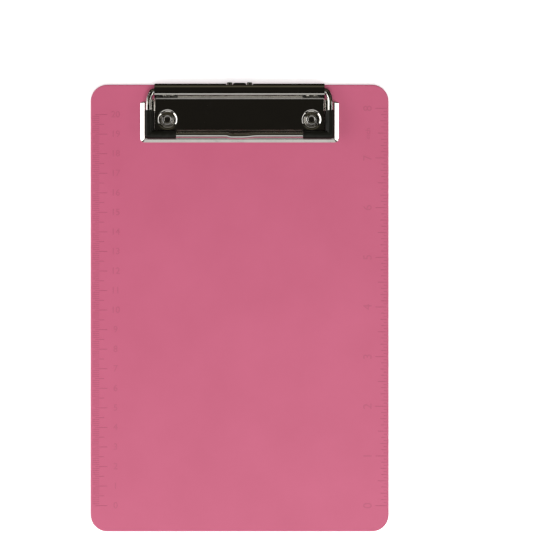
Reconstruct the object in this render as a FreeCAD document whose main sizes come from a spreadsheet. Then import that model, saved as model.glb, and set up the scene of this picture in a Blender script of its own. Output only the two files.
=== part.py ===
"""Memo-size clipboard with a low-profile wire clip.

Frame: origin at the centre of the board's back face, +X to the right, +Y towards the clip
end, +Z out of the writing face. Two words place the clip's features: "back" is the distance
from the board's clip end towards its foot, and "rise" is the height above the writing face.
"""
import FreeCAD, Part
import math
import os

import Sketcher
from FreeCAD import Placement, Rotation, Vector

SIDES = (("left", -1), ("right", 1))
NEAR = 1e-3

# alias, millimetres or degrees, what it is
SIZES = [
    ("board_width", 152.4, "board, across"),
    ("board_length", 228.6, "board, along"),
    ("board_thick", 3.0, "board thickness"),
    ("board_corner", 8.5, "corner radius in plan"),
    ("board_round", 0.7, "rounding of the board's edges"),
    ("sheet_thick", 0.8, "pressed steel sheet"),
    ("wire_radius", 1.5, "spring wire"),
    ("running_gap", 0.07, "clearance of the wire in the roll"),
    ("roll_half", 43.4, "half the length of the roll"),
    ("axis_back", 3.6, "wire axis in the roll from the clip end"),
    ("axis_rise", 2.5, "wire axis above the writing face"),
    ("roll_back", 2.07, "centre of the roll's rounded rear from the clip end"),
    ("hook_drop", 0.5, "free end of the roll below the wire's axis"),
    ("crest_back", 4.6, "where the flat crest of the roll starts to fall"),
    ("crest_radius", 1.5, "outer bend radius at the crest"),
    ("foot_radius", 0.5, "outer bend radius where the fall meets the plateau"),
    ("fall_angle", 55.0, "steepness of the fall"),
    ("pan_half", 50.7, "half width of the pan over its rims"),
    ("pan_rear", 7.0, "rear edge of the pan"),
    ("pan_front", 29.6, "front edge of the pan"),
    ("pan_corner", 3.6, "rounding of the front corners' slanting ridges"),
    ("ledge_rise", 1.3, "top of the ledge that the clamp closes on"),
    ("rim_side", 2.3, "width of the sloping side rims"),
    ("rim_front", 1.8, "width of the sloping front rim"),
    ("rim_rear", 0.9, "width of the sloping rear shoulders"),
    ("shoulder_in", 3.6, "shoulder cut, across"),
    ("shoulder_along", 2.4, "shoulder cut, along"),
    ("plateau_half", 43.2, "half width of the raised middle at its top"),
    ("plateau_rear", 7.3, "rear end of the raised middle"),
    ("plateau_front", 23.3, "front edge of the raised middle at its top"),
    ("plateau_rise", 2.1, "top of the raised middle"),
    ("plateau_draft", 0.55, "side draft per millimetre of height"),
    ("plateau_lead", 0.25, "front draft per millimetre of height"),
    ("plateau_corner", 1.6, "rounding of the raised middle's front corners"),
    ("plateau_round", 0.3, "rounding of the raised middle's top edge"),
    ("rivet_half", 36.8, "rivets from the centre line"),
    ("rivet_back", 18.0, "rivets from the clip end"),
    ("dimple_mouth", 5.0, "dimple radius at the plateau"),
    ("dimple_floor", 3.2, "dimple radius at its floor"),
    ("dimple_wall", 0.45, "dimple wall added outside the floor radius"),
    ("dimple_merge", 0.08, "dimple walls end this far above the plateau's underside"),
    ("rivet_hole", 1.95, "hole radius for the rivet shank"),
    ("shank_radius", 1.85, "rivet shank"),
    ("head_radius", 4.0, "rivet head, behind the board"),
    ("head_thick", 1.0, "rivet head thickness"),
    ("head_round", 0.6, "rounding of the rivet head"),
    ("recess_radius", 4.3, "recess for the head in the board's back"),
    ("recess_depth", 1.3, "depth of that recess"),
    ("curl_radius", 2.15, "rolled rivet end, centre line"),
    ("curl_section", 0.7, "rolled rivet end, section radius"),
    ("rivet_bore", 1.4, "bore radius of the tubular rivet end"),
    ("rivet_floor", 2.0, "bottom of that bore above the board's back"),
    ("leg_centre", 5.1, "hooked spring ends from the centre line"),
    ("leg_bend", 1.6, "bend radius of the hooked ends"),
    ("leg_proud", 0.6, "hooked ends beyond the roll's rear"),
    ("leg_round", 0.5, "rounding of the hooked ends' tips"),
    ("leg_gap", 0.2, "gap where a leg's twisting length meets the clamp's journal"),
    ("slot_half", 1.75, "half width of the slots for the hooked ends"),
    ("slot_height", 3.4, "height of those slots"),
    ("tongue_half", 2.7, "half width of the tongue between the slots"),
    ("tongue_proud", 0.55, "tongue beyond the roll's rear"),
    ("tongue_height", 4.0, "height of the tongue"),
    ("journal_length", 10.0, "clamp wire inside each end of the roll"),
    ("exit_gap", 0.25, "straight wire outside the roll before the bend"),
    ("exit_radius", 1.6, "bend radius at the roll's end"),
    ("exit_turn", 60.0, "angle of that bend"),
    ("arm_half", 46.4, "side arms from the centre line"),
    ("arm_climb", 16.0, "climb of the arms out of the roll to their level"),
    ("corner_radius", 1.8, "bend radius at the clamp's front corners"),
    ("bar_back", 25.95, "front bar from the clip end"),
    ("bow_depth", 0.6, "shallow bow of the front bar towards the foot"),
    ("bow_start", -7.0, "where the bow begins"),
    ("bow_entry", 3.0, "length of its short side"),
    ("bow_flat", 5.0, "length at full depth"),
    ("bow_exit", 9.0, "length of its long side"),
    ("grip_radius", 2.15, "rubber sleeves"),
    ("grip_side", 12.6, "sleeve length along the side arm"),
    ("grip_front", 14.1, "sleeve length along the front bar"),
    ("grip_round", 0.4, "rounding of the sleeves' open ends"),
    ("grip_gap", 0.2, "sleeves above the ledge when closed"),
]


def make_sheet(doc):
    """Spreadsheet that drives every size."""
    sheet = doc.addObject("Spreadsheet::Sheet", "Sizes")
    for row, (alias, value, meaning) in enumerate(SIZES, start=1):
        sheet.set(f"A{row}", meaning)
        sheet.set(f"B{row}", str(value))
        sheet.setAlias(f"B{row}", alias)
    doc.recompute()
    return sheet


def bind(obj, sizes):
    """Bind properties of an object to expressions in the sheet's aliases."""
    for name, expression in sizes.items():
        obj.setExpression(name, expression)


def place(obj, across, back, rise, rotation=Rotation()):
    """Place an object by expressions for its distance across, back and rise."""
    obj.Placement = Placement(Vector(), rotation)
    bind(obj, {
        "Placement.Base.x": across,
        "Placement.Base.y": f"Sizes.board_length / 2 - ({back})",
        "Placement.Base.z": f"Sizes.board_thick + ({rise})",
    })


def box(doc, name, length, width, height):
    block = doc.addObject("Part::Box", name)
    bind(block, {"Length": length, "Width": width, "Height": height})
    return block


def cylinder(doc, name, radius, height):
    round_bar = doc.addObject("Part::Cylinder", name)
    bind(round_bar, {"Radius": radius, "Height": height})
    return round_bar


def fuse(doc, name, shapes):
    joined = doc.addObject("Part::MultiFuse", name)
    joined.Shapes = shapes
    joined.Refine = True
    return joined


def cut(doc, name, base, tool):
    result = doc.addObject("Part::Cut", name)
    result.Base = base
    result.Tool = tool
    result.Refine = True
    return result


def fillet(doc, name, base, radius, chosen):
    """Round the edges of base for which chosen(edge) is true."""
    doc.recompute()
    edges = [
        (number, radius, radius)
        for number, edge in enumerate(base.Shape.Edges, start=1)
        if chosen(edge)
    ]
    rounded = doc.addObject("Part::Fillet", name)
    rounded.Base = base
    rounded.Edges = edges
    doc.recompute()
    return rounded


def label(obj, name):
    obj.Label = name
    return obj


class BentWire:
    """Centre line of a bent wire or sheet: straight runs and tangent arcs."""

    def __init__(self, start, heading):
        self.start = start
        self.point = start
        self.heading = heading.normalize()
        self.edges = []

    def straight(self, length):
        end = self.point + self.heading * length
        self.edges.append(Part.LineSegment(self.point, end).toShape())
        self.point = end

    def turn_to(self, radius, heading):
        """Arc that ends in the new heading."""
        angle = self.heading.getAngle(heading)
        reach = radius * math.tan(angle / 2)
        corner = self.point + self.heading * reach
        end = corner + heading * reach
        to_centre = (heading - self.heading * math.cos(angle)).normalize()
        centre = self.point + to_centre * radius
        middle = centre + (corner - centre).normalize() * radius
        self.edges.append(Part.Arc(self.point, middle, end).toShape())
        self.point = end
        self.heading = heading

    def turn(self, radius, angle):
        """Turn in the plane of x and y by angle degrees, anticlockwise when positive."""
        self.turn_to(radius, Rotation(Vector(0, 0, 1), angle).multVec(self.heading))

    def wire(self):
        return Part.Wire(self.edges)


# ---------------------------------------------------------------- board


def origin_plane(body, role):
    return next(item for item in body.Origin.OriginFeatures if item.Role == role)


def board_sketch(body, name):
    """Empty sketch on the board's back face."""
    sketch = body.newObject("Sketcher::SketchObject", name)
    sketch.AttachmentSupport = (origin_plane(body, "XY_Plane"), [""])
    sketch.MapMode = "FlatFace"
    return sketch


def draw_board_outline(sketch, width, length):
    """Rectangle centred on the origin, bound to the board's width and length."""
    corners = [
        Vector(-width / 2, -length / 2), Vector(width / 2, -length / 2),
        Vector(width / 2, length / 2), Vector(-width / 2, length / 2),
    ]
    for start, end in zip(corners, corners[1:] + corners[:1]):
        sketch.addGeometry(Part.LineSegment(start, end))
    for line in range(4):
        sketch.addConstraint(Sketcher.Constraint("Coincident", line, 2, (line + 1) % 4, 1))
    for line, direction in enumerate(["Horizontal", "Vertical", "Horizontal", "Vertical"]):
        sketch.addConstraint(Sketcher.Constraint(direction, line))
    sketch.addConstraint(Sketcher.Constraint("Symmetric", 0, 1, 1, 2, -1, 1))
    across = sketch.addConstraint(Sketcher.Constraint("DistanceX", 0, 1, 0, 2, width))
    along = sketch.addConstraint(Sketcher.Constraint("DistanceY", 1, 1, 1, 2, length))
    bind(sketch, {
        f"Constraints[{across}]": "Sizes.board_width",
        f"Constraints[{along}]": "Sizes.board_length",
    })


def draw_rivet_circles(sketch, sheet, radius_alias):
    """One circle at each rivet, bound to the given radius."""
    up = sheet.board_length / 2 - sheet.rivet_back
    for circle, side in enumerate((-1, 1)):
        centre = Vector(side * sheet.rivet_half, up)
        sketch.addGeometry(Part.Circle(centre, Vector(0, 0, 1), sheet.get(radius_alias)))
        across = sketch.addConstraint(
            Sketcher.Constraint("DistanceX", -1, 1, circle, 3, centre.x))
        along = sketch.addConstraint(
            Sketcher.Constraint("DistanceY", -1, 1, circle, 3, centre.y))
        radius = sketch.addConstraint(
            Sketcher.Constraint("Radius", circle, sheet.get(radius_alias)))
        bind(sketch, {
            f"Constraints[{across}]": f"{side} * Sizes.rivet_half",
            f"Constraints[{along}]": "Sizes.board_length / 2 - Sizes.rivet_back",
            f"Constraints[{radius}]": f"Sizes.{radius_alias}",
        })


def board_pocket(doc, body, sheet, name, radius_alias, depth):
    """Round pockets at both rivets, cut upwards from the board's back face."""
    volume_before = body.Shape.Volume
    sketch = board_sketch(body, name + "_circles")
    draw_rivet_circles(sketch, sheet, radius_alias)
    pocket = body.newObject("PartDesign::Pocket", name)
    pocket.Profile = sketch
    pocket.Reversed = True
    bind(pocket, {"Length": depth})
    doc.recompute()
    if body.Shape.Volume >= volume_before:
        raise RuntimeError(f"{name} cut nothing")


def board_edges(feature, chosen):
    return [
        f"Edge{number}"
        for number, edge in enumerate(feature.Shape.Edges, start=1)
        if chosen(edge)
    ]


def is_upright(edge):
    run = edge.Vertexes[-1].Point - edge.Vertexes[0].Point
    return math.hypot(run.x, run.y) < NEAR < abs(run.z)


def make_board(doc, sheet):
    """Moulded board: rounded plate with holes and head recesses for the rivets."""
    body = doc.addObject("PartDesign::Body", "Board")
    outline = board_sketch(body, "board_outline")
    draw_board_outline(outline, sheet.board_width, sheet.board_length)
    plate = body.newObject("PartDesign::Pad", "board_plate")
    plate.Profile = outline
    bind(plate, {"Length": "Sizes.board_thick"})
    doc.recompute()

    corners = body.newObject("PartDesign::Fillet", "board_corners")
    corners.Base = (plate, board_edges(plate, is_upright))
    bind(corners, {"Radius": "Sizes.board_corner"})
    doc.recompute()

    rounding = body.newObject("PartDesign::Fillet", "board_rounding")
    rounding.Base = (corners, board_edges(corners, lambda edge: not is_upright(edge)))
    bind(rounding, {"Radius": "Sizes.board_round"})
    doc.recompute()

    board_pocket(doc, body, sheet, "rivet_holes", "rivet_hole", "2 * Sizes.board_thick")
    board_pocket(doc, body, sheet, "head_recesses", "recess_radius", "Sizes.recess_depth")
    return label(body, "board")


# ---------------------------------------------------------------- clip base

LYING_ACROSS = Rotation(Vector(0, 1, 0), 90)
STANDING_WEDGE = Rotation(Vector(1, 0, 0), 90)
# OVERSHOOT is how far a cutting tool runs past the faces that it cuts, and TOOL_SIDE is the side
# of cutting blocks whose far faces cut nothing.
OVERSHOOT = "1"
TOOL_SIDE = "12"
ROLL_INNER = "(Sizes.wire_radius + Sizes.running_gap)"
ROLL_OUTER = "(Sizes.wire_radius + Sizes.running_gap + Sizes.sheet_thick)"


def wedge(doc, name, foot, top):
    """Tapered block in the clip's frame.

    foot and top are expressions (half width, rear, front, rise) of its lower and upper faces.
    The wedge's own Y axis stands up and its Z axis runs from the clip end to the foot.
    """
    block = doc.addObject("Part::Wedge", name)
    place(block, "0", "0", "0", STANDING_WEDGE)
    bind(block, {
        "Xmin": f"-({foot[0]})", "Xmax": foot[0], "Zmin": foot[1], "Zmax": foot[2],
        "X2min": f"-({top[0]})", "X2max": top[0], "Z2min": top[1], "Z2max": top[2],
        "Ymin": foot[3], "Ymax": top[3],
    })
    return block


def round_front_corners(doc, name, block, radius):
    """Round the two standing front edges of a tapered block."""
    middle = (doc.Sizes.board_length - doc.Sizes.pan_front) / 2

    def standing_in_front(edge):
        return edge.BoundBox.ZLength > NEAR and edge.BoundBox.YMax < middle

    return fillet(doc, name, block, radius, standing_in_front)


def shoulder_cutters(doc, name, inset):
    """Blocks that take off the pan's two rear corners on a slant, moved in by inset."""
    slant = "atan(Sizes.shoulder_along / Sizes.shoulder_in)"
    degrees = math.degrees(math.atan2(doc.Sizes.shoulder_along, doc.Sizes.shoulder_in))
    turns = {"left": 90 + degrees, "right": -degrees}
    cutters = []
    for word, side in SIDES:
        cutter = box(doc, f"{name}_{word}", TOOL_SIDE, TOOL_SIDE, TOOL_SIDE)
        place(cutter,
              f"{side} * (Sizes.pan_half - Sizes.shoulder_in - {inset} * sin({slant}))",
              f"Sizes.pan_rear + {inset} * cos({slant})",
              f"-{OVERSHOOT}",
              Rotation(Vector(0, 0, 1), turns[word]))
        cutters.append(cutter)
    return cutters


def pan_block(doc, name, side_inset, front_inset, lift, foot_rise):
    """Low tapered block of the pan, inset and lowered for its inner side."""
    side_slope = "Sizes.rim_side / Sizes.ledge_rise"
    front_slope = "Sizes.rim_front / Sizes.ledge_rise"
    rear_slope = "Sizes.rim_rear / Sizes.ledge_rise"

    def outline(rise):
        return (
            f"Sizes.pan_half - {side_inset} - {side_slope} * ({rise})",
            f"Sizes.pan_rear + {front_inset} + {rear_slope} * ({rise})",
            f"Sizes.pan_front - {front_inset} - {front_slope} * ({rise})",
            rise,
        )

    return wedge(doc, name, outline(foot_rise), outline(f"Sizes.ledge_rise - {lift}"))


def plateau_block(doc, name, inset, lift, foot_rise, rear):
    """Raised middle of the pan, inset and lowered for its inner side."""

    def outline(rise):
        drop = f"(Sizes.plateau_rise - ({rise}))"
        return (
            f"Sizes.plateau_half - {inset} + Sizes.plateau_draft * {drop}",
            rear,
            f"Sizes.plateau_front - {inset} + Sizes.plateau_lead * {drop}",
            rise,
        )

    return wedge(doc, name, outline(foot_rise), outline(f"Sizes.plateau_rise - {lift}"))


def across_bar(doc, name, radius, half):
    """Cylinder on the wire's axis in the roll."""
    bar = cylinder(doc, name, radius, f"2 * {half}")
    place(bar, f"-{half}", "Sizes.axis_back", "Sizes.axis_rise", LYING_ACROSS)
    return bar


def stadium_bar(doc, name, radius, half):
    """Bar across the clip whose section is a circle drawn out from the roll's rear to its axis."""
    length = f"2 * {half}"
    rear = cylinder(doc, name + "_rear", radius, length)
    place(rear, f"-{half}", "Sizes.roll_back", "Sizes.axis_rise", LYING_ACROSS)
    front = across_bar(doc, name + "_front", radius, half)
    middle = box(doc, name + "_middle", length, "Sizes.axis_back - Sizes.roll_back",
                 f"2 * ({radius})")
    place(middle, f"-{half}", "Sizes.axis_back", f"Sizes.axis_rise - ({radius})")
    return [rear, front, middle]


def rolled_edge(doc):
    """Rolled rear edge without its upper front quarter, where the sheet falls to the plateau."""
    roll = fuse(doc, "roll", stadium_bar(doc, "roll_outer", ROLL_OUTER, "Sizes.roll_half"))
    opening = box(doc, "roll_opening", f"2 * (Sizes.roll_half + {OVERSHOOT})",
                  TOOL_SIDE, TOOL_SIDE)
    place(opening, f"-(Sizes.roll_half + {OVERSHOOT})", f"Sizes.axis_back + {TOOL_SIDE}",
          "Sizes.axis_rise - Sizes.hook_drop")
    return cut(doc, "roll_hook", roll, opening)


def fall_profile(sheet):
    """Outline of the sheet from the crest of the roll down to the plateau.

    Drawn with the distance back along x and the rise along y.
    """
    thick = sheet.sheet_thick
    crest = sheet.axis_rise + sheet.wire_radius + sheet.running_gap + thick
    angle = math.radians(sheet.fall_angle)
    drop = crest - sheet.plateau_rise
    bends = sheet.crest_radius + sheet.foot_radius
    straight = (drop - bends * (1 - math.cos(angle))) / math.sin(angle)

    outer = BentWire(Vector(sheet.roll_back, crest, 0), Vector(1, 0, 0))
    outer.straight(sheet.crest_back - sheet.roll_back)
    outer.turn(sheet.crest_radius, -sheet.fall_angle)
    outer.straight(straight)
    outer.turn(sheet.foot_radius, sheet.fall_angle)
    inner = BentWire(Vector(sheet.roll_back, crest - thick, 0), Vector(1, 0, 0))
    inner.straight(sheet.crest_back - sheet.roll_back)
    inner.turn(sheet.crest_radius - thick, -sheet.fall_angle)
    inner.straight(straight)
    inner.turn(sheet.foot_radius + thick, sheet.fall_angle)
    closing = [
        Part.LineSegment(outer.point, inner.point).toShape(),
        Part.LineSegment(inner.start, outer.start).toShape(),
    ]
    return Part.Wire(Part.__sortEdges__(outer.edges + inner.edges + closing))


def falling_sheet(doc, sheet):
    """Sheet bent down from the crest to the plateau, as long as the roll."""
    profile = doc.addObject("Part::Feature", "fall_profile")
    profile.Shape = fall_profile(sheet)
    upright = Rotation(Vector(0, -1, 0), Vector(0, 0, 1), Vector(-1, 0, 0), "ZYX")
    place(profile, "Sizes.roll_half", "0", "0", upright)
    fall = doc.addObject("Part::Extrusion", "falling_sheet")
    fall.Base = profile
    fall.DirMode = "Custom"
    fall.Dir = Vector(-1, 0, 0)
    fall.Solid = True
    bind(fall, {"LengthFwd": "2 * Sizes.roll_half"})
    return fall


def roll_tongue(doc):
    """Arched tongue pressed out at the roll's rear, between the two slots."""
    arch = cylinder(doc, "tongue_arch", ROLL_OUTER + " + Sizes.tongue_proud",
                    "2 * Sizes.tongue_half")
    place(arch, "-Sizes.tongue_half", "Sizes.roll_back", "Sizes.axis_rise", LYING_ACROSS)
    rear_side = box(doc, "tongue_rear_side", "2 * Sizes.tongue_half", TOOL_SIDE,
                    "Sizes.tongue_height")
    place(rear_side, "-Sizes.tongue_half", "Sizes.roll_back - Sizes.sheet_thick",
          "Sizes.axis_rise - Sizes.tongue_height / 2")
    tongue = doc.addObject("Part::Common", "tongue")
    tongue.Base = arch
    tongue.Tool = rear_side
    return tongue


def roll_slots(doc):
    """Slots in the roll's rear for the two hooked spring ends."""
    slots = []
    for word, side in SIDES:
        slot = box(doc, f"slot_{word}", "2 * Sizes.slot_half", TOOL_SIDE, "Sizes.slot_height")
        place(slot, f"{side} * Sizes.leg_centre - Sizes.slot_half", "Sizes.roll_back",
              "Sizes.axis_rise - Sizes.slot_height / 2")
        slots.append(slot)
    return slots


def dimple_cones(doc, name, grow, low, high):
    """One cone at each rivet between two rises, flaring as the dimples do."""
    flare = "(Sizes.dimple_mouth - Sizes.dimple_floor) / (Sizes.plateau_rise - Sizes.sheet_thick)"
    cones = []
    for word, side in SIDES:
        cone = doc.addObject("Part::Cone", f"{name}_{word}")
        bind(cone, {
            "Radius1": f"Sizes.dimple_floor + {grow}",
            "Radius2": f"Sizes.dimple_floor + {grow} + {flare} * ({high} - {low})",
            "Height": f"{high} - {low}",
        })
        place(cone, f"{side} * Sizes.rivet_half", "Sizes.rivet_back", low)
        cones.append(cone)
    return cones


def rivet_drills(doc):
    """Shank holes through the dimple floors."""
    drills = []
    for word, side in SIDES:
        drill = cylinder(doc, f"drill_{word}", "Sizes.rivet_hole", TOOL_SIDE)
        place(drill, f"{side} * Sizes.rivet_half", "Sizes.rivet_back", f"-{OVERSHOOT}")
        drills.append(drill)
    return drills


def make_clip_base(doc, sheet):
    """Pressed base plate: inverted pan with rims, plateau, dimples and a rolled rear edge."""
    side_wall = "Sizes.sheet_thick * sqrt(1 + (Sizes.rim_side / Sizes.ledge_rise)^2)"
    front_wall = "Sizes.sheet_thick * sqrt(1 + (Sizes.rim_front / Sizes.ledge_rise)^2)"
    pan = pan_block(doc, "pan_outer", "0", "0", "0", "0")
    pan = round_front_corners(doc, "pan_rounded", pan, sheet.pan_corner)
    pan = cut(doc, "pan_shouldered", pan,
              fuse(doc, "outer_shoulders", shoulder_cutters(doc, "outer_shoulder", "0")))
    plateau = plateau_block(doc, "plateau_outer", "0", "0",
                            "Sizes.ledge_rise - Sizes.sheet_thick", "Sizes.plateau_rear")
    plateau = round_front_corners(doc, "plateau_rounded", plateau, sheet.plateau_corner)
    rear = sheet.board_length / 2 - sheet.plateau_rear
    top = sheet.board_thick + sheet.plateau_rise

    def around_the_top(edge):
        extent = edge.BoundBox
        return abs(extent.ZMin - top) < NEAR and extent.YMin < rear - NEAR

    plateau = fillet(doc, "plateau_softened", plateau, sheet.plateau_round, around_the_top)
    solid = fuse(doc, "clip_outside",
                 [pan, plateau, rolled_edge(doc), falling_sheet(doc, sheet), roll_tongue(doc)])

    pan_hollow = pan_block(doc, "pan_inner", side_wall, front_wall,
                           "Sizes.sheet_thick", f"-{OVERSHOOT}")
    pan_hollow = cut(doc, "hollow_shouldered", pan_hollow,
                     fuse(doc, "inner_shoulders",
                          shoulder_cutters(doc, "inner_shoulder", "Sizes.sheet_thick")))
    plateau_hollow = plateau_block(doc, "plateau_inner", "Sizes.sheet_thick",
                                   "Sizes.sheet_thick", f"-{OVERSHOOT}",
                                   f"Sizes.plateau_rear - {OVERSHOOT}")
    bore = stadium_bar(doc, "roll_inner", ROLL_INNER, f"(Sizes.roll_half + {OVERSHOOT})")
    hollow = fuse(doc, "clip_inside", [pan_hollow, plateau_hollow] + bore + roll_slots(doc))
    shell = cut(doc, "clip_shell", solid, hollow)

    cup_walls = dimple_cones(doc, "cup_outer", "Sizes.dimple_wall", "0",
                             "(Sizes.plateau_rise - Sizes.sheet_thick + Sizes.dimple_merge)")
    cups = fuse(doc, "clip_with_cups", [shell] + cup_walls)
    cup_hollows = dimple_cones(doc, "cup_inner", "0", "Sizes.sheet_thick",
                               f"(Sizes.plateau_rise + {OVERSHOOT})")
    holes = fuse(doc, "cup_holes", cup_hollows + rivet_drills(doc))
    return label(cut(doc, "ClipBase", cups, holes), "clip_base")


# ---------------------------------------------------------------- wire clamp


def shift_bend(shift, length):
    """Radius and angle of the two opposite arcs that shift a wire sideways over length."""
    angle = 2 * math.atan2(shift, length)
    return length / 2 / math.sin(angle), math.degrees(angle)


def bar_rise(sheet):
    """Front bar's axis above the writing face when the clamp is closed."""
    return sheet.ledge_rise + sheet.grip_radius + sheet.grip_gap


def arm_out(path, sheet, side):
    """Bend the wire out of the roll, up to its level and along one side arm.

    The second bend ends on the arm's line, and the third at the front bar's level.
    """
    turn = math.radians(sheet.exit_turn)
    climb = math.radians(sheet.arm_climb)
    leaving = Vector(side * math.cos(turn), -math.sin(turn), 0)
    climbing = Vector(0, -math.cos(climb), math.sin(climb))
    level = Vector(0, -1, 0)
    path.straight(sheet.journal_length + sheet.exit_gap)
    path.turn_to(sheet.exit_radius, leaving)
    splay = leaving.getAngle(climbing)
    across = sheet.arm_half - abs(path.point.x)
    path.turn_to(across / math.cos(turn) / math.tan(splay / 2), climbing)
    upwards = bar_rise(sheet) - sheet.axis_rise - path.point.z
    path.turn_to(upwards / math.sin(climb) / math.tan(climb / 2), level)
    path.straight(path.point.y + sheet.bar_back - sheet.axis_back - sheet.corner_radius)


def clamp_path(sheet):
    """Centre line from the left journal round the front bar to the right journal."""
    inner_end = sheet.roll_half - sheet.journal_length
    left = BentWire(Vector(-inner_end, 0, 0), Vector(-1, 0, 0))
    arm_out(left, sheet, -1)
    left.turn_to(sheet.corner_radius, Vector(1, 0, 0))

    left.straight(sheet.arm_half - sheet.corner_radius + sheet.bow_start)
    radius, angle = shift_bend(sheet.bow_depth, sheet.bow_entry)
    left.turn(radius, -angle)
    left.turn(radius, angle)
    left.straight(sheet.bow_flat)
    radius, angle = shift_bend(sheet.bow_depth, sheet.bow_exit)
    left.turn(radius, angle)
    left.turn(radius, -angle)
    left.straight(sheet.arm_half - sheet.corner_radius - left.point.x)

    right = BentWire(Vector(inner_end, 0, 0), Vector(1, 0, 0))
    arm_out(right, sheet, 1)
    right.turn_to(sheet.corner_radius, Vector(-1, 0, 0))
    return Part.Wire(Part.__sortEdges__(left.edges + right.edges))


def swept_wire(doc, name, path, sheet):
    """Round wire swept along a path that starts at path's first vertex, across the frame."""
    line = doc.addObject("Part::Feature", name + "_path")
    line.Shape = path
    section = doc.addObject("Part::Circle", name + "_section")
    bind(section, {"Radius": "Sizes.wire_radius"})
    section.Placement = Placement(path.OrderedVertexes[0].Point, LYING_ACROSS)
    sweep = doc.addObject("Part::Sweep", name + "_sweep")
    sweep.Sections = [section]
    sweep.Spine = (line, [f"Edge{number + 1}" for number in range(len(path.Edges))])
    sweep.Solid = True
    sweep.Transition = "Transformed"
    return sweep


def wire_axis(sheet):
    """Placement of the wire's own frame: on its axis in the roll, square to the board."""
    return Placement(Vector(0, sheet.board_length / 2 - sheet.axis_back,
                            sheet.board_thick + sheet.axis_rise), Rotation())


def make_wire_clamp(doc, sheet):
    """Wire bail that turns in the roll."""
    clamp = swept_wire(doc, "WireClamp", clamp_path(sheet), sheet)
    clamp.Placement = wire_axis(sheet)
    return label(clamp, "wire_clamp")


def make_corner_grip(doc, sheet, side, name):
    """Rubber sleeve round one front corner of the clamp."""
    corner = Vector(side * sheet.arm_half, sheet.axis_back - sheet.bar_back,
                    bar_rise(sheet) - sheet.axis_rise)
    arm = cylinder(doc, name + "_arm", "Sizes.grip_radius", "Sizes.grip_side")
    arm.Placement = Placement(corner, Rotation(Vector(1, 0, 0), -90))
    front = cylinder(doc, name + "_front", "Sizes.grip_radius", "Sizes.grip_front")
    front.Placement = Placement(corner, Rotation(Vector(0, 1, 0), -90 * side))
    elbow = doc.addObject("Part::Sphere", name + "_elbow")
    bind(elbow, {"Radius": "Sizes.grip_radius"})
    elbow.Placement = Placement(corner, Rotation())
    sleeve = fuse(doc, name + "_sleeve", [arm, front, elbow])

    ends = [corner + Vector(0, sheet.grip_side, 0), corner - Vector(side * sheet.grip_front, 0, 0)]

    def at_open_end(edge):
        centre = edge.BoundBox.Center
        return any((centre - end).Length < sheet.wire_radius for end in ends)

    rounded = fillet(doc, name + "_rounded", sleeve, sheet.grip_round, at_open_end)
    core = swept_wire(doc, name + "_core", clamp_path(sheet), sheet)
    grip = cut(doc, name + "_grip", rounded, core)
    grip.Placement = wire_axis(sheet)
    return label(grip, name)


def make_spring_leg(doc, sheet, side, name):
    """Twisting end of the wire inside the roll, hooked out of its slot."""
    outer_end = sheet.roll_half - sheet.journal_length - sheet.leg_gap
    rear = (sheet.axis_back - sheet.roll_back + sheet.wire_radius + sheet.running_gap
            + sheet.sheet_thick)
    path = BentWire(Vector(side * outer_end, 0, 0), Vector(-side, 0, 0))
    path.straight(outer_end - sheet.leg_centre - sheet.leg_bend)
    path.turn_to(sheet.leg_bend, Vector(0, 1, 0))
    path.straight(rear + sheet.leg_proud - sheet.leg_bend)
    leg = swept_wire(doc, name, path.wire(), sheet)
    tip = path.point

    def at_tip(edge):
        return (edge.BoundBox.Center - tip).Length < NEAR

    rounded = fillet(doc, name + "_tip", leg, sheet.leg_round, at_tip)
    rounded.Placement = wire_axis(sheet)
    return label(rounded, name)


# ---------------------------------------------------------------- rivets


def make_rivet(doc, sheet, side, name):
    """Semi-tubular rivet: flat head behind the board, rolled end in the dimple."""
    head = cylinder(doc, name + "_head", "Sizes.head_radius", "Sizes.head_thick")
    place(head, "0", "Sizes.board_length / 2",
          "Sizes.recess_depth - Sizes.head_thick - Sizes.board_thick")
    foot = sheet.recess_depth - sheet.head_thick

    def at_foot(edge):
        return abs(edge.BoundBox.ZMax - foot) < NEAR and abs(edge.BoundBox.ZMin - foot) < NEAR

    domed = fillet(doc, name + "_domed", head, sheet.head_round, at_foot)
    shank = cylinder(doc, name + "_shank", "Sizes.shank_radius",
                     "Sizes.board_thick - Sizes.recess_depth + Sizes.sheet_thick"
                     " + Sizes.curl_section")
    place(shank, "0", "Sizes.board_length / 2", "Sizes.recess_depth - Sizes.board_thick")
    roll = doc.addObject("Part::Torus", name + "_roll")
    bind(roll, {"Radius1": "Sizes.curl_radius", "Radius2": "Sizes.curl_section"})
    place(roll, "0", "Sizes.board_length / 2", "Sizes.sheet_thick + Sizes.curl_section")
    solid = fuse(doc, name + "_solid", [domed, shank, roll])
    bore = cylinder(doc, name + "_bore", "Sizes.rivet_bore", TOOL_SIDE)
    place(bore, "0", "Sizes.board_length / 2", "Sizes.rivet_floor - Sizes.board_thick")
    rivet = cut(doc, name + "_rivet", solid, bore)
    bind(rivet, {
        "Placement.Base.x": f"{side} * Sizes.rivet_half",
        "Placement.Base.y": "Sizes.board_length / 2 - Sizes.rivet_back",
    })
    return label(rivet, name)


# ---------------------------------------------------------------- document


def check(doc, parts):
    """Stop if any object failed or any sub-part is missing, broken or not one solid."""
    for obj in doc.Objects:
        if {"Invalid", "Error"} & set(obj.State):
            raise RuntimeError(f"{obj.Name} failed: {obj.State}")
    for part in parts:
        shape = part.Shape
        if shape.isNull() or not shape.isValid() or len(shape.Solids) != 1:
            raise RuntimeError(f"{part.Label} has no single valid solid")
        size = shape.optimalBoundingBox()
        print(f"{part.Label:18s} volume {shape.Volume:9.1f}  x {size.XMin:7.2f} {size.XMax:7.2f}"
              f"  y {size.YMin:7.2f} {size.YMax:7.2f}  z {size.ZMin:6.2f} {size.ZMax:6.2f}")


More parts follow.
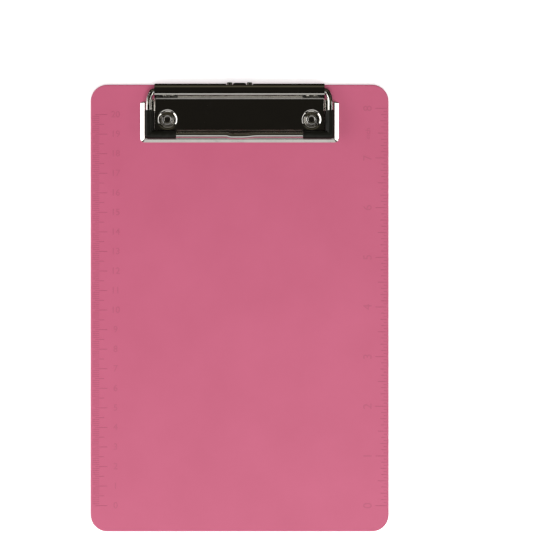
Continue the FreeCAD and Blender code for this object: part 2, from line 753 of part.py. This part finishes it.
def main():
    doc = FreeCAD.newDocument("Clipboard")
    sheet = make_sheet(doc)
    parts = [make_board(doc, sheet), make_clip_base(doc, sheet), make_wire_clamp(doc, sheet)]
    for word, side in SIDES:
        parts.append(make_spring_leg(doc, sheet, side, f"{word}_spring_leg"))
        parts.append(make_corner_grip(doc, sheet, side, f"{word}_corner_grip"))
        parts.append(make_rivet(doc, sheet, side, f"{word}_rivet"))
    doc.recompute()
    check(doc, parts)
    os.makedirs("parts", exist_ok=True)
    for part in parts:
        part.Shape.exportStep(f"parts/{part.Label}.step")


main()
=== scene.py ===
import math
from collections import namedtuple

import bmesh
import bpy
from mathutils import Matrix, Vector


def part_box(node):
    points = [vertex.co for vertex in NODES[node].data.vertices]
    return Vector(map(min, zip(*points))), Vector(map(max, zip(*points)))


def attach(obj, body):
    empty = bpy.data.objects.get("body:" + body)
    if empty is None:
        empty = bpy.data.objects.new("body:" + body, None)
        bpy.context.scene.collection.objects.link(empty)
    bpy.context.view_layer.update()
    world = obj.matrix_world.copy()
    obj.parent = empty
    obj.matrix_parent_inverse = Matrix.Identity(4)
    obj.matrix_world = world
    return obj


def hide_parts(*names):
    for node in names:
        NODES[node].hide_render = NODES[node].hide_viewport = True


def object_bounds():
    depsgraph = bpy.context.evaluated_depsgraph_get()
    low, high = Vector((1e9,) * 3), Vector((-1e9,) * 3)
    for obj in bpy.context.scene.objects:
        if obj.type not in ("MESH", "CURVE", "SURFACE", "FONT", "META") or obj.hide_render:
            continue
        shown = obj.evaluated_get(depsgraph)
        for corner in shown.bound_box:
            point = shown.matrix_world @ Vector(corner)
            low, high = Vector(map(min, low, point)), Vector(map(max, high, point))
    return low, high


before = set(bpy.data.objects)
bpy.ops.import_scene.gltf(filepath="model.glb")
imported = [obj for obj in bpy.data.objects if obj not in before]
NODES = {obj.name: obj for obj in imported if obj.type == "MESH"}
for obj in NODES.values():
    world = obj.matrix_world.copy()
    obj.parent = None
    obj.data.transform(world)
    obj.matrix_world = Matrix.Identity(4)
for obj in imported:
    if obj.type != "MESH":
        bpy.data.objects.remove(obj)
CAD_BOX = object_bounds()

MM = 0.001
BOARD_LOW, BOARD_HIGH = (Vector(corner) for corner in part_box("board"))
BOARD_TOP = BOARD_HIGH.z

# ------------------------------------------------------------------ materials


class Nodes:
    """Short forms for building a material's node tree."""

    def __init__(self, name):
        self.material = bpy.data.materials.new(name)
        self.material.use_nodes = True
        self.tree = self.material.node_tree
        self.shader = self.tree.nodes["Principled BSDF"]
        self.position = self.tree.nodes.new("ShaderNodeTexCoord").outputs["Object"]

    def set(self, **values):
        """Constants for the shader's sockets, whose spaces are written as underscores."""
        for name, value in values.items():
            self.shader.inputs[name.replace("_", " ")].default_value = value

    def feed(self, **sources):
        """Outputs linked to the shader's sockets, whose spaces are written as underscores."""
        for name, source in sources.items():
            self.link(source, self.shader.inputs[name.replace("_", " ")])

    def link(self, source, target):
        self.tree.links.new(source, target)

    def stretched(self, scale, turn=0.0):
        """Position scaled per axis and turned about Z, for grain that runs one way."""
        mapping = self.tree.nodes.new("ShaderNodeMapping")
        mapping.inputs["Rotation"].default_value = (0, 0, turn)
        mapping.inputs["Scale"].default_value = scale
        self.link(self.position, mapping.inputs["Vector"])
        return mapping.outputs["Vector"]

    def noise(self, scale, detail=3.0, roughness=0.55, vector=None):
        node = self.tree.nodes.new("ShaderNodeTexNoise")
        node.inputs["Scale"].default_value = scale
        node.inputs["Detail"].default_value = detail
        node.inputs["Roughness"].default_value = roughness
        self.link(vector or self.position, node.inputs["Vector"])
        return node.outputs["Fac"]

    def spread(self, value, low, high, to_low=0.0, to_high=1.0):
        """Map a value from one range to another, clamped."""
        node = self.tree.nodes.new("ShaderNodeMapRange")
        for socket, number in zip(("From Min", "From Max", "To Min", "To Max"),
                                  (low, high, to_low, to_high)):
            node.inputs[socket].default_value = number
        self.link(value, node.inputs["Value"])
        return node.outputs["Result"]

    def combine(self, operation, first, second):
        """Arithmetic on an output and a second output or number."""
        node = self.tree.nodes.new("ShaderNodeMath")
        node.operation = operation
        self.link(first, node.inputs[0])
        if isinstance(second, (int, float)):
            node.inputs[1].default_value = second
        else:
            self.link(second, node.inputs[1])
        return node.outputs["Value"]

    def plus(self, first, second, share):
        """First and a share of second, added."""
        return self.combine("ADD", first, self.combine("MULTIPLY", second, share))

    def blend(self, factor, first, second):
        """Colour between two colours."""
        node = self.tree.nodes.new("ShaderNodeMix")
        node.data_type = "RGBA"
        node.inputs["A"].default_value = (*first, 1)
        node.inputs["B"].default_value = (*second, 1)
        self.link(factor, node.inputs["Factor"])
        return node.outputs["Result"]

    def bump(self, height, distance, strength):
        node = self.tree.nodes.new("ShaderNodeBump")
        node.inputs["Strength"].default_value = strength
        node.inputs["Distance"].default_value = distance
        self.link(height, node.inputs["Height"])
        self.feed(Normal=node.outputs["Normal"])

    def scratches(self, scale, angle, width):
        """Thin broken lines, 1 on a line and 0 between."""
        slenderness = 14
        patchiness = 0.35
        cells = self.tree.nodes.new("ShaderNodeTexVoronoi")
        cells.feature = "DISTANCE_TO_EDGE"
        cells.inputs["Scale"].default_value = 1.0
        long_cells = self.stretched((scale, scale / slenderness, scale), angle)
        self.link(long_cells, cells.inputs["Vector"])
        lines = self.spread(cells.outputs["Distance"], low=0.0, high=width, to_low=1.0, to_high=0.0)
        broken = self.spread(self.noise(scale * patchiness, detail=2.0), low=0.56, high=0.62)
        return self.combine("MULTIPLY", lines, broken)


def pink_plastic(name, tone):
    """Moulded polystyrene: cloudy colour, fine flow grain and a few hairline scratches.

    tone darkens the colour for the raised marks.
    """
    nodes = Nodes(name)
    clouds = nodes.spread(nodes.noise(28.0, detail=4.0), low=0.3, high=0.7)
    deep = tuple(tone * part for part in (0.572, 0.119, 0.209))
    light = tuple(tone * part for part in (0.603, 0.130, 0.227))
    hairlines = nodes.scratches(240.0, angle=0.5, width=0.02)
    gloss = nodes.spread(nodes.noise(60.0, detail=5.0), low=0.3, high=0.7, to_low=0.30, to_high=0.38)
    nodes.feed(Base_Color=nodes.blend(clouds, deep, light),
               Roughness=nodes.plus(gloss, hairlines, share=0.12))
    grain = nodes.noise(2600.0, detail=2.0)
    flow = nodes.noise(90.0, detail=2.0, vector=nodes.stretched((1, 0.3, 1)))
    nodes.bump(nodes.plus(flow, grain, share=0.2), distance=0.04 * MM, strength=0.35)
    nodes.set(IOR=1.59)
    return nodes.material


def chrome(name, tint, smooth, worn):
    """Bright plating: faint waves in the metal, handling haze and fine scratches.

    Its roughness goes from smooth to worn with the haze.
    """
    nodes = Nodes(name)
    haze = nodes.spread(nodes.noise(140.0, detail=5.0, roughness=0.65), low=0.42, high=0.75)
    dulled = tuple(part * 0.93 for part in tint)
    scratches = nodes.combine("ADD", nodes.scratches(420.0, angle=1.2, width=0.03),
                              nodes.scratches(330.0, angle=0.2, width=0.03))
    roughness = nodes.spread(haze, low=0.0, high=1.0, to_low=smooth, to_high=worn)
    nodes.feed(Base_Color=nodes.blend(haze, tint, dulled),
               Roughness=nodes.plus(roughness, scratches, share=0.10))
    waves = nodes.noise(120.0, detail=1.0, roughness=0.4)
    nodes.bump(nodes.plus(waves, scratches, share=-0.05), distance=0.03 * MM, strength=0.5)
    nodes.set(Metallic=1.0)
    return nodes.material


def black_rubber():
    """Dipped vinyl: satin black, slightly pebbled, greyer where it is rubbed."""
    nodes = Nodes("grip_rubber")
    rubbed = nodes.spread(nodes.noise(420.0, detail=4.0), low=0.45, high=0.7)
    nodes.feed(Base_Color=nodes.blend(rubbed, (0.008, 0.008, 0.006), (0.014, 0.014, 0.011)),
               Roughness=nodes.spread(rubbed, low=0.0, high=1.0, to_low=0.36, to_high=0.52))
    nodes.bump(nodes.noise(2400.0), distance=0.03 * MM, strength=0.5)
    nodes.set(IOR=1.3)
    return nodes.material


def dress(node, material):
    mesh = NODES[node].data
    mesh.materials.clear()
    mesh.materials.append(material)


plastic = pink_plastic("board_plastic", tone=1.0)
relief_plastic = pink_plastic("scale_plastic", tone=0.80)
figure_plastic = pink_plastic("figure_plastic", tone=0.88)
sheet_chrome = chrome("clip_chrome", (0.80, 0.77, 0.72), smooth=0.045, worn=0.11)
wire_chrome = chrome("wire_chrome", (0.82, 0.80, 0.76), smooth=0.05, worn=0.12)
# Near-black, rough metal for the spring legs: painted shade that keeps their hooked ends dark behind
# the roll.
painted_shade_legs = chrome("painted_shade_wire", (0.15, 0.14, 0.12), smooth=0.24, worn=0.40)
rivet_metal = chrome("rivet_steel", (0.74, 0.72, 0.68), smooth=0.10, worn=0.20)
rubber = black_rubber()
dress("board", plastic)
dress("wire_clamp", wire_chrome)
for side in ("left", "right"):
    dress(f"{side}_spring_leg", painted_shade_legs)
    dress(f"{side}_corner_grip", rubber)
    dress(f"{side}_rivet", rivet_metal)


def new_piece(name, mesh, material, body):
    """Object made from a bmesh that rides on a body."""
    bmesh.ops.recalc_face_normals(mesh, faces=mesh.faces)
    data = bpy.data.meshes.new(name)
    mesh.to_mesh(data)
    mesh.free()
    data.materials.append(material)
    piece = bpy.data.objects.new(name, data)
    bpy.context.scene.collection.objects.link(piece)
    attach(piece, body)
    return piece


# ------------------------------------------------------------------ pressed plate

# The plate is drawn in millimetres: x across, back from the clip end towards the foot, and
# rise above the writing face.
PLATE_LOW, PLATE_HIGH = (Vector(corner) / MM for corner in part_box("clip_base"))
CLIP_END = BOARD_HIGH.y / MM
SHEET = 0.8
PAN_HALF = PLATE_HIGH.x
PAN_FRONT = CLIP_END - PLATE_LOW.y
PAN_REAR = 7.0
LEDGE = 1.3
RIM_SIDE, RIM_FRONT, RIM_REAR, RIM_SHOULDER = 2.3, 1.8, 0.9, 1.2
SHOULDER_IN, SHOULDER_ALONG = 3.6, 2.4
PLATEAU, PLATEAU_HALF, PLATEAU_FRONT = 2.1, 43.2, 23.3
SIDE_DRAFT, FRONT_DRAFT = 0.55, 0.25
RIVET_HALF, RIVET_BACK = 36.8, 18.0
DIMPLE_MOUTH, DIMPLE_FLOOR = 5.0, 3.2
ROLL_HALF, ROLL_BACK = 43.4, 2.07
AXIS_BACK, AXIS_RISE = 3.6, 2.5
ROLL_BORE = 1.57
CREST_BACK, CREST_RADIUS, FOOT_RADIUS = 4.6, 1.5, 0.5
FALL_ANGLE = math.radians(55)
ROLL_END_ANGLE = math.radians(75)
SLOT_CENTRE, SLOT_HALF, SLOT_RISE = 5.1, 1.75, 1.7
SLOT_INNER, SLOT_OUTER = SLOT_CENTRE - SLOT_HALF, SLOT_CENTRE + SLOT_HALF

# The tongue between the slots is pressed out by up to TONGUE_PROUD. It rises over TONGUE_FLANK
# from a slot's edge and, round the roll, from where TONGUE_GAIN times the sine of the angle from
# upright passes TONGUE_START.
TONGUE_HALF, TONGUE_PROUD, TONGUE_FLANK = 2.7, 0.55, 0.9
TONGUE_GAIN, TONGUE_START = 1.6, 0.9

# Creases are rounded over these differences in height. Those of the rims are shares of LEDGE.
RIM_CORNER_CREASE, RIM_TOP_CREASE = 0.2, 0.15
PLATEAU_SIDE_CREASE, PLATEAU_FRONT_CREASE, PLATEAU_FOOT_CREASE = 0.7, 0.25, 0.45
DIMPLE_CREASE = 0.2

# Rows this near the pan's rear and front bend with its outline. The shape of the plateau's ends
# fades out up the fall, FOOT_FADE times as fast as the fall climbs.
OUTLINE_REACH = 3.0
FOOT_FADE = 2.5
# Columns and rows are close together this far round a dimple, and from a LEAD before a crease to
# a TAIL after it.
DIMPLE_REACH, DIMPLE_REACH_FRONT = 5.6, 5.2
TONGUE_LEAD = 0.8
ROLL_END_TAIL = 0.05
FRONT_LEAD, FRONT_TAIL = 0.5, 1.4
RIM_LEAD, RIM_TAIL = 0.4, 0.5
# Vertices closer than MERGE_GAP are one, and edges sharper than SHARP_EDGE aren't shaded smooth.
MERGE_GAP = 0.003
SHARP_EDGE = math.radians(50)

ROLL_OUTER = ROLL_BORE + SHEET
ROLL_TOP = AXIS_RISE + ROLL_OUTER
BEND_DROP = (CREST_RADIUS + FOOT_RADIUS) * (1 - math.cos(FALL_ANGLE))
FALL_RUN = (ROLL_TOP - PLATEAU - BEND_DROP) / math.tan(FALL_ANGLE)
FALL_FOOT = CREST_BACK + (CREST_RADIUS + FOOT_RADIUS) * math.sin(FALL_ANGLE) + FALL_RUN


def lower_of(first, second, crease):
    """Lower of two heights, rounded where they meet."""
    overlap = max(crease - abs(first - second), 0.0)
    return min(first, second) - overlap * overlap / (4 * crease)


def higher_of(first, second, crease):
    return -lower_of(-first, -second, crease)


def ease(value):
    """Smooth step from 0 to 1."""
    value = min(max(value, 0.0), 1.0)
    return value * value * (3 - 2 * value)


def past_shoulder(x):
    """Distance beyond the start of the slanted shoulder, negative before it."""
    return abs(x) - PAN_HALF + SHOULDER_IN


def pan_rise(x, back):
    """Sloping rims up to the ledge, with rounded front corners and slanted shoulders."""
    side = min((PAN_HALF - abs(x)) / RIM_SIDE, 1.0)
    front = min((PAN_FRONT - back) / RIM_FRONT, 1.0)
    corner = 1.0 - math.hypot(1.0 - side, 1.0 - front)
    rear = (back - PAN_REAR) / RIM_REAR
    from_shoulder = (back - PAN_REAR) * SHOULDER_IN - past_shoulder(x) * SHOULDER_ALONG
    shoulder = from_shoulder / math.hypot(SHOULDER_IN, SHOULDER_ALONG) / RIM_SHOULDER
    slopes = lower_of(corner, lower_of(rear, shoulder, RIM_CORNER_CREASE), RIM_CORNER_CREASE)
    return LEDGE * lower_of(slopes, 1.0, RIM_TOP_CREASE)


def plate_rise(x, back):
    """Top of the pan: ledge, raised middle and dimples, with rounded creases."""
    side = PLATEAU - (abs(x) - PLATEAU_HALF) / SIDE_DRAFT
    front = PLATEAU - (back - PLATEAU_FRONT) / FRONT_DRAFT
    middle = lower_of(side, PLATEAU, PLATEAU_SIDE_CREASE)
    middle = lower_of(middle, front, PLATEAU_FRONT_CREASE)
    rise = higher_of(pan_rise(x, back), middle, PLATEAU_FOOT_CREASE)
    from_rivet = math.hypot(abs(x) - RIVET_HALF, back - RIVET_BACK)
    wall = SHEET + (from_rivet - DIMPLE_FLOOR) * (PLATEAU - SHEET) / (DIMPLE_MOUTH - DIMPLE_FLOOR)
    cup = higher_of(wall, SHEET, DIMPLE_CREASE)
    return max(lower_of(rise, cup, DIMPLE_CREASE), 0.0)


def plate_back(x, nominal):
    """A row's place in the column at x, bent to the outline at the rear and the front corners."""
    rear = PAN_REAR + max(past_shoulder(x), 0.0) * SHOULDER_ALONG / SHOULDER_IN
    if abs(x) <= ROLL_HALF:
        rear = FALL_FOOT
    into_corner = max(1.0 - (PAN_HALF - abs(x)) / RIM_SIDE, 0.0)
    front = PAN_FRONT - RIM_FRONT * (1.0 - math.sqrt(max(1.0 - into_corner ** 2, 0.0)))
    near_rear = max(1.0 - (nominal - FALL_FOOT) / OUTLINE_REACH, 0.0)
    near_front = max(1.0 - (PAN_FRONT - nominal) / OUTLINE_REACH, 0.0)
    return nominal + (rear - FALL_FOOT) * near_rear + (front - PAN_FRONT) * near_front


def steps(*stations):
    """Values through (value, cells up to the next) stations."""
    values = []
    for (start, cells), (end, _) in zip(stations, stations[1:]):
        values += [start + (end - start) * cell / cells for cell in range(cells)]
    return values + [stations[-1][0]]


def plate_columns():
    """Places across the plate, closer together at the creases and dimples."""
    rim = PAN_HALF - RIM_SIDE
    half = steps((0.0, 6), (TONGUE_HALF - TONGUE_LEAD, 5), (SLOT_INNER, 7), (SLOT_OUTER, 26),
                 (RIVET_HALF - DIMPLE_REACH, 50), (RIVET_HALF + DIMPLE_REACH, 8),
                 (ROLL_HALF, 1), (ROLL_HALF + ROLL_END_TAIL, 16),
                 (rim - RIM_LEAD, 5), (rim + RIM_TAIL, 8), (PAN_HALF, 0))
    return [-x for x in half[:0:-1]] + half


def plate_rows():
    """Places along the pan from the foot of the fall, closer together at creases and dimples."""
    rim = PAN_FRONT - RIM_FRONT
    return steps((FALL_FOOT, 10), (RIVET_BACK - DIMPLE_REACH, 48),
                 (RIVET_BACK + DIMPLE_REACH_FRONT, 10),
                 (PLATEAU_FRONT + FRONT_LEAD, 4), (PLATEAU_FRONT + FRONT_TAIL, 6),
                 (rim - RIM_LEAD, 4), (rim + RIM_TAIL, 6), (PAN_FRONT, 0))


# A row of the roll lies on an arc: its centre, its angle from upright, which grows towards the
# foot, and the arc's radius outside and inside the sheet. A hollow bend's radii are negative.
RollRow = namedtuple("RollRow", "back rise angle outer inner")


def roll_rows():
    """Rows of the roll from its free edge round to the plateau."""
    slot_edge = math.acos(SLOT_RISE / ROLL_OUTER)
    free_edge = steps((math.pi - ROLL_END_ANGLE, 8), (math.pi, 0))
    rows = [RollRow(AXIS_BACK, AXIS_RISE, angle, ROLL_OUTER, ROLL_BORE) for angle in free_edge]
    rear = steps((math.pi, 5), (math.pi - slot_edge, 16), (slot_edge, 6), (0.0, 0))
    rows += [RollRow(ROLL_BACK, AXIS_RISE, -angle, ROLL_OUTER, ROLL_BORE) for angle in rear]
    crest = steps((0.0, 12), (FALL_ANGLE, 0))
    rows += [RollRow(CREST_BACK, ROLL_TOP - CREST_RADIUS, angle, CREST_RADIUS, CREST_RADIUS - SHEET)
             for angle in crest]
    foot = steps((FALL_ANGLE, 7), (0.0, 0))
    rows += [RollRow(FALL_FOOT, PLATEAU + FOOT_RADIUS, angle, -FOOT_RADIUS, -FOOT_RADIUS - SHEET)
             for angle in foot]
    return rows


def roll_point(x, row, inside):
    """Back and rise of a row of the roll in the column at x, with the tongue pressed out."""
    radius = row.inner if inside else row.outer
    if row.angle < 0:
        pressed = ease((SLOT_INNER - abs(x)) / TONGUE_FLANK)
        radius += TONGUE_PROUD * pressed * ease(TONGUE_GAIN * math.sin(-row.angle) - TONGUE_START)
    back = row.back + radius * math.sin(row.angle)
    rise = row.rise + radius * math.cos(row.angle)
    if row.outer < 0:
        climbed = (rise - PLATEAU) / (ROLL_TOP - PLATEAU)
        rise += (plate_rise(x, FALL_FOOT) - PLATEAU) * (1.0 - ease(FOOT_FADE * climbed))
    return back, rise


def pan_point(x, nominal, inside):
    """Back and rise of a row of the pan in the column at x."""
    back = plate_back(x, nominal)
    rise = plate_rise(x, back)
    return back, max(rise - SHEET, 0.0) if inside else rise


class PressedSheet:
    """Clip base as one pressed sheet: the roll along its rear edge, then the pan.

    A grid of columns and rows is laid over it twice, outside and inside, and the two are joined
    along the edges of the cells that have sheet.
    """

    def __init__(self):
        self.columns = plate_columns()
        self.roll = roll_rows()
        self.pan = plate_rows()
        self.first_pan_row = len(self.roll) - 1
        self.column_cells = len(self.columns) - 1
        self.row_cells = self.first_pan_row + len(self.pan) - 1
        self.mesh = bmesh.new()
        self.vertices = {}

    def place(self, column, row, inside):
        """Point of the sheet in metres, in the object's frame."""
        x = self.columns[column]
        if row >= self.first_pan_row:
            back, rise = pan_point(x, self.pan[row - self.first_pan_row], inside)
        else:
            back, rise = roll_point(x, self.roll[row], inside)
        return Vector((x, CLIP_END - back, BOARD_TOP / MM + rise)) * MM

    def has_sheet(self, column, row):
        """Whether a cell is in the grid, not beside the roll and not in a slot."""
        if not (0 <= column < self.column_cells and 0 <= row < self.row_cells):
            return False
        if row >= self.first_pan_row:
            return True
        middle = abs(self.columns[column] + self.columns[column + 1]) / 2
        start, end = self.roll[row].angle, self.roll[row + 1].angle
        slot_reached = abs(math.cos((start + end) / 2)) * ROLL_OUTER < SLOT_RISE
        in_slot = end < 0 and abs(middle - SLOT_CENTRE) < SLOT_HALF and slot_reached
        return middle < ROLL_HALF and not in_slot

    def vertex(self, column, row, inside):
        key = (column, row, inside)
        if key not in self.vertices:
            self.vertices[key] = self.mesh.verts.new(self.place(*key))
        return self.vertices[key]

    def add_cell(self, column, row):
        """Outer and inner face of a cell, and a wall on each side that has no neighbour."""
        ring = [(column, row), (column + 1, row), (column + 1, row + 1), (column, row + 1)]
        self.mesh.faces.new([self.vertex(*spot, False) for spot in ring])
        self.mesh.faces.new([self.vertex(*spot, True) for spot in ring[::-1]])
        beyond = [(column, row - 1), (column + 1, row), (column, row + 1), (column - 1, row)]
        for start, end, neighbour in zip(ring, ring[1:] + ring[:1], beyond):
            if not self.has_sheet(*neighbour):
                self.mesh.faces.new([self.vertex(*start, True), self.vertex(*end, True),
                                     self.vertex(*end, False), self.vertex(*start, False)])

    def build(self):
        """Mesh of the whole sheet, smooth but for its sharp edges."""
        for column in range(self.column_cells):
            for row in range(self.row_cells):
                if self.has_sheet(column, row):
                    self.add_cell(column, row)
        bmesh.ops.remove_doubles(self.mesh, verts=self.mesh.verts, dist=MERGE_GAP * MM)
        for face in self.mesh.faces:
            face.smooth = True
        for edge in self.mesh.edges:
            edge.smooth = edge.calc_face_angle(0.0) < SHARP_EDGE
        return self.mesh


plate = new_piece("pressed_plate", PressedSheet().build(), sheet_chrome, "board")
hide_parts("clip_base")

# ------------------------------------------------------------------ ruler scales

SCALE_ZERO = BOARD_LOW.y + 13.2 * MM
RELIEF = 0.08 * MM
TICK_FOOT = 0.36 * MM
TICK_CREST = 0.16 * MM
INCH = 25.4 * MM
CENTIMETRES, INCHES = 20, 8
SIXTEENTHS = 16

# Each row is an interval and the distances from the board's edge, in millimetres, between which
# its marks run. A mark belongs to the first interval that divides its number.
CENTIMETRE_MARKS = ((10, 2.3, 8.5), (5, 2.3, 6.9), (1, 0.9, 4.4))
INCH_MARKS = ((16, 0.85, 6.8), (8, 0.85, 5.6), (4, 0.85, 4.2), (2, 0.85, 3.8), (1, 0.85, 2.6))

CENTIMETRE_FIGURE, CENTIMETRE_FIGURE_INSET = 4.7 * MM, 12.7 * MM
INCH_FIGURE, INCH_FIGURE_INSET = 6.2 * MM, 10.6 * MM
UNIT_WORD, UNIT_WORD_INCHES = 3.6 * MM, 7.49


def add_tick(mesh, y, start, end):
    """Ridge across the board at y, from start on the left to end, with sloping flanks."""
    foot, crest = TICK_FOOT / 2, TICK_CREST / 2
    low, high = BOARD_TOP - RELIEF / 4, BOARD_TOP + RELIEF
    rings = []
    for x, inward in ((start, RELIEF), (end, -RELIEF)):
        rings.append([mesh.verts.new(point) for point in (
            (x, y - foot, low), (x + inward, y - crest, high),
            (x + inward, y + crest, high), (x, y + foot, low))])
    first, second = rings
    for corner in range(4):
        after = (corner + 1) % 4
        mesh.faces.new((first[corner], first[after], second[after], second[corner]))
    mesh.faces.new(first[::-1])
    mesh.faces.new(second)


def mark_ends(number, marks):
    return next(ends for interval, *ends in marks if number % interval == 0)


def moulded_scale(name, edge, inward, pitch, last, marks):
    """Marks up one edge of the board. inward is 1 at the left edge and -1 at the right."""
    mesh = bmesh.new()
    for number in range(last + 1):
        start, end = sorted(edge + inward * distance * MM for distance in mark_ends(number, marks))
        add_tick(mesh, SCALE_ZERO + number * pitch, start, end)
    new_piece(name, mesh, relief_plastic, "board")


def raised_text(name, text, size, centre, turn):
    """Moulded figures, centred on a point of the writing face."""
    curve = bpy.data.curves.new(name, "FONT")
    curve.body = text
    curve.size = size
    curve.align_x = "CENTER"
    curve.align_y = "CENTER"
    curve.extrude = RELIEF / 2
    curve.bevel_depth = RELIEF / 4
    curve.bevel_resolution = 1
    words = bpy.data.objects.new(name + "_curve", curve)
    data = bpy.data.meshes.new_from_object(words)
    data.name = name
    bpy.data.objects.remove(words)
    data.materials.clear()
    data.materials.append(figure_plastic)
    piece = bpy.data.objects.new(name, data)
    piece.location = (*centre, BOARD_TOP + RELIEF / 4)
    piece.rotation_euler.z = turn
    bpy.context.scene.collection.objects.link(piece)
    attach(piece, "board")


def scale_figures():
    """Numbers beside the whole centimetres and, reading upwards, the whole inches."""
    left = BOARD_LOW.x + CENTIMETRE_FIGURE_INSET
    for number in range(CENTIMETRES + 1):
        raised_text(f"centimetre_{number}", str(number), CENTIMETRE_FIGURE,
                    (left, SCALE_ZERO + 10 * number * MM), 0.0)
    right = BOARD_HIGH.x - INCH_FIGURE_INSET
    upwards = math.pi / 2
    for number in range(INCHES + 1):
        raised_text(f"inch_{number}", str(number), INCH_FIGURE,
                    (right, SCALE_ZERO + number * INCH), upwards)
    raised_text("inch_word", "inch", UNIT_WORD,
                (right, SCALE_ZERO + UNIT_WORD_INCHES * INCH), upwards)


moulded_scale("centimetre_scale", BOARD_LOW.x, 1, MM, 10 * CENTIMETRES, CENTIMETRE_MARKS)
moulded_scale("inch_scale", BOARD_HIGH.x, -1, INCH / SIXTEENTHS, SIXTEENTHS * INCHES, INCH_MARKS)
scale_figures()

# ------------------------------------------------------------------ stage

# Metres, but for the sensor's width, which is in millimetres.
FLOOR_HALF = 3.0
FLOOR_GAP = 0.2 * MM
CAMERA_HEIGHT = 1.2
CAMERA_X, CAMERA_Y = 0.0181, 0.0169
FIELD_WIDTH = 0.2813
SENSOR_WIDTH = 36.0


def floor():
    """Pale floor, lit a little from within so that it is evenly white, and not mirrored."""
    mesh = bpy.data.meshes.new("floor")
    corners = [(-FLOOR_HALF, -FLOOR_HALF, 0), (FLOOR_HALF, -FLOOR_HALF, 0),
               (FLOOR_HALF, FLOOR_HALF, 0), (-FLOOR_HALF, FLOOR_HALF, 0)]
    mesh.from_pydata(corners, [], [(0, 1, 2, 3)])
    plane = bpy.data.objects.new("floor", mesh)
    plane.location.z = CAD_BOX[0][2] - FLOOR_GAP
    plane.visible_glossy = False
    bpy.context.scene.collection.objects.link(plane)
    paint = Nodes("floor_paint")
    paint.set(Base_Color=(0.95, 0.95, 0.95, 1), Roughness=0.9,
              Emission_Color=(1, 1, 1, 1), Emission_Strength=0.45)
    mesh.materials.append(paint.material)


def softbox(name, azimuth, elevation, distance, width, height, radiance, colour=(1, 1, 1)):
    """Area light facing the object from a direction given in degrees; azimuth 0 is the right."""
    light = bpy.data.lights.new(name, "AREA")
    light.shape = "RECTANGLE"
    light.size, light.size_y = width, height
    light.energy = radiance * math.pi * width * height
    light.color = colour
    around, up = math.radians(azimuth), math.radians(elevation)
    place = Vector((math.cos(around) * math.cos(up), math.sin(around) * math.cos(up),
                    math.sin(up))) * distance
    obj = bpy.data.objects.new(name, light)
    obj.location = place
    obj.rotation_euler = (-place).to_track_quat("-Z", "Y").to_euler()
    bpy.context.scene.collection.objects.link(obj)
    return obj


def camera():
    """Straight down, over the middle of the framed field."""
    data = bpy.data.cameras.new("camera")
    data.sensor_width = SENSOR_WIDTH
    data.lens = SENSOR_WIDTH * CAMERA_HEIGHT / FIELD_WIDTH
    obj = bpy.data.objects.new("camera", data)
    obj.location = (CAMERA_X, CAMERA_Y, BOARD_TOP + CAMERA_HEIGHT)
    bpy.context.scene.collection.objects.link(obj)
    bpy.context.scene.camera = obj


def lights():
    """Strips and panels that the chrome mirrors, and a fill from above that it doesn't.

    The numbers are azimuth, elevation, distance, width, height and radiance.
    """
    softbox("left_softbox", 181, 25, 1.1, 1.4, 0.50, 2.6)
    softbox("right_softbox", -2, 31, 1.1, 1.4, 0.16, 2.4)
    softbox("low_panel", -90, 15.5, 1.2, 1.3, 0.13, 0.30)
    softbox("front_panel", -90, 22, 1.2, 1.3, 0.15, 0.66)
    softbox("foot_overhead", -90, 55, 1.2, 1.3, 0.80, 0.70)
    softbox("back_glow", 90, 46, 1.2, 1.4, 0.80, 0.07, (1.0, 0.93, 0.62))
    fill = softbox("fill", -65, 70, 1.5, 1.3, 1.3, 3.75)
    fill.visible_glossy = False


def studio():
    """Dim, slightly warm surroundings and plain colour management."""
    scene = bpy.context.scene
    scene.view_settings.view_transform = "Standard"
    world = bpy.data.worlds.new("studio")
    world.use_nodes = True
    background = world.node_tree.nodes["Background"]
    background.inputs["Color"].default_value = (0.012, 0.011, 0.009, 1)
    scene.world = world


floor()
camera()
lights()
studio()
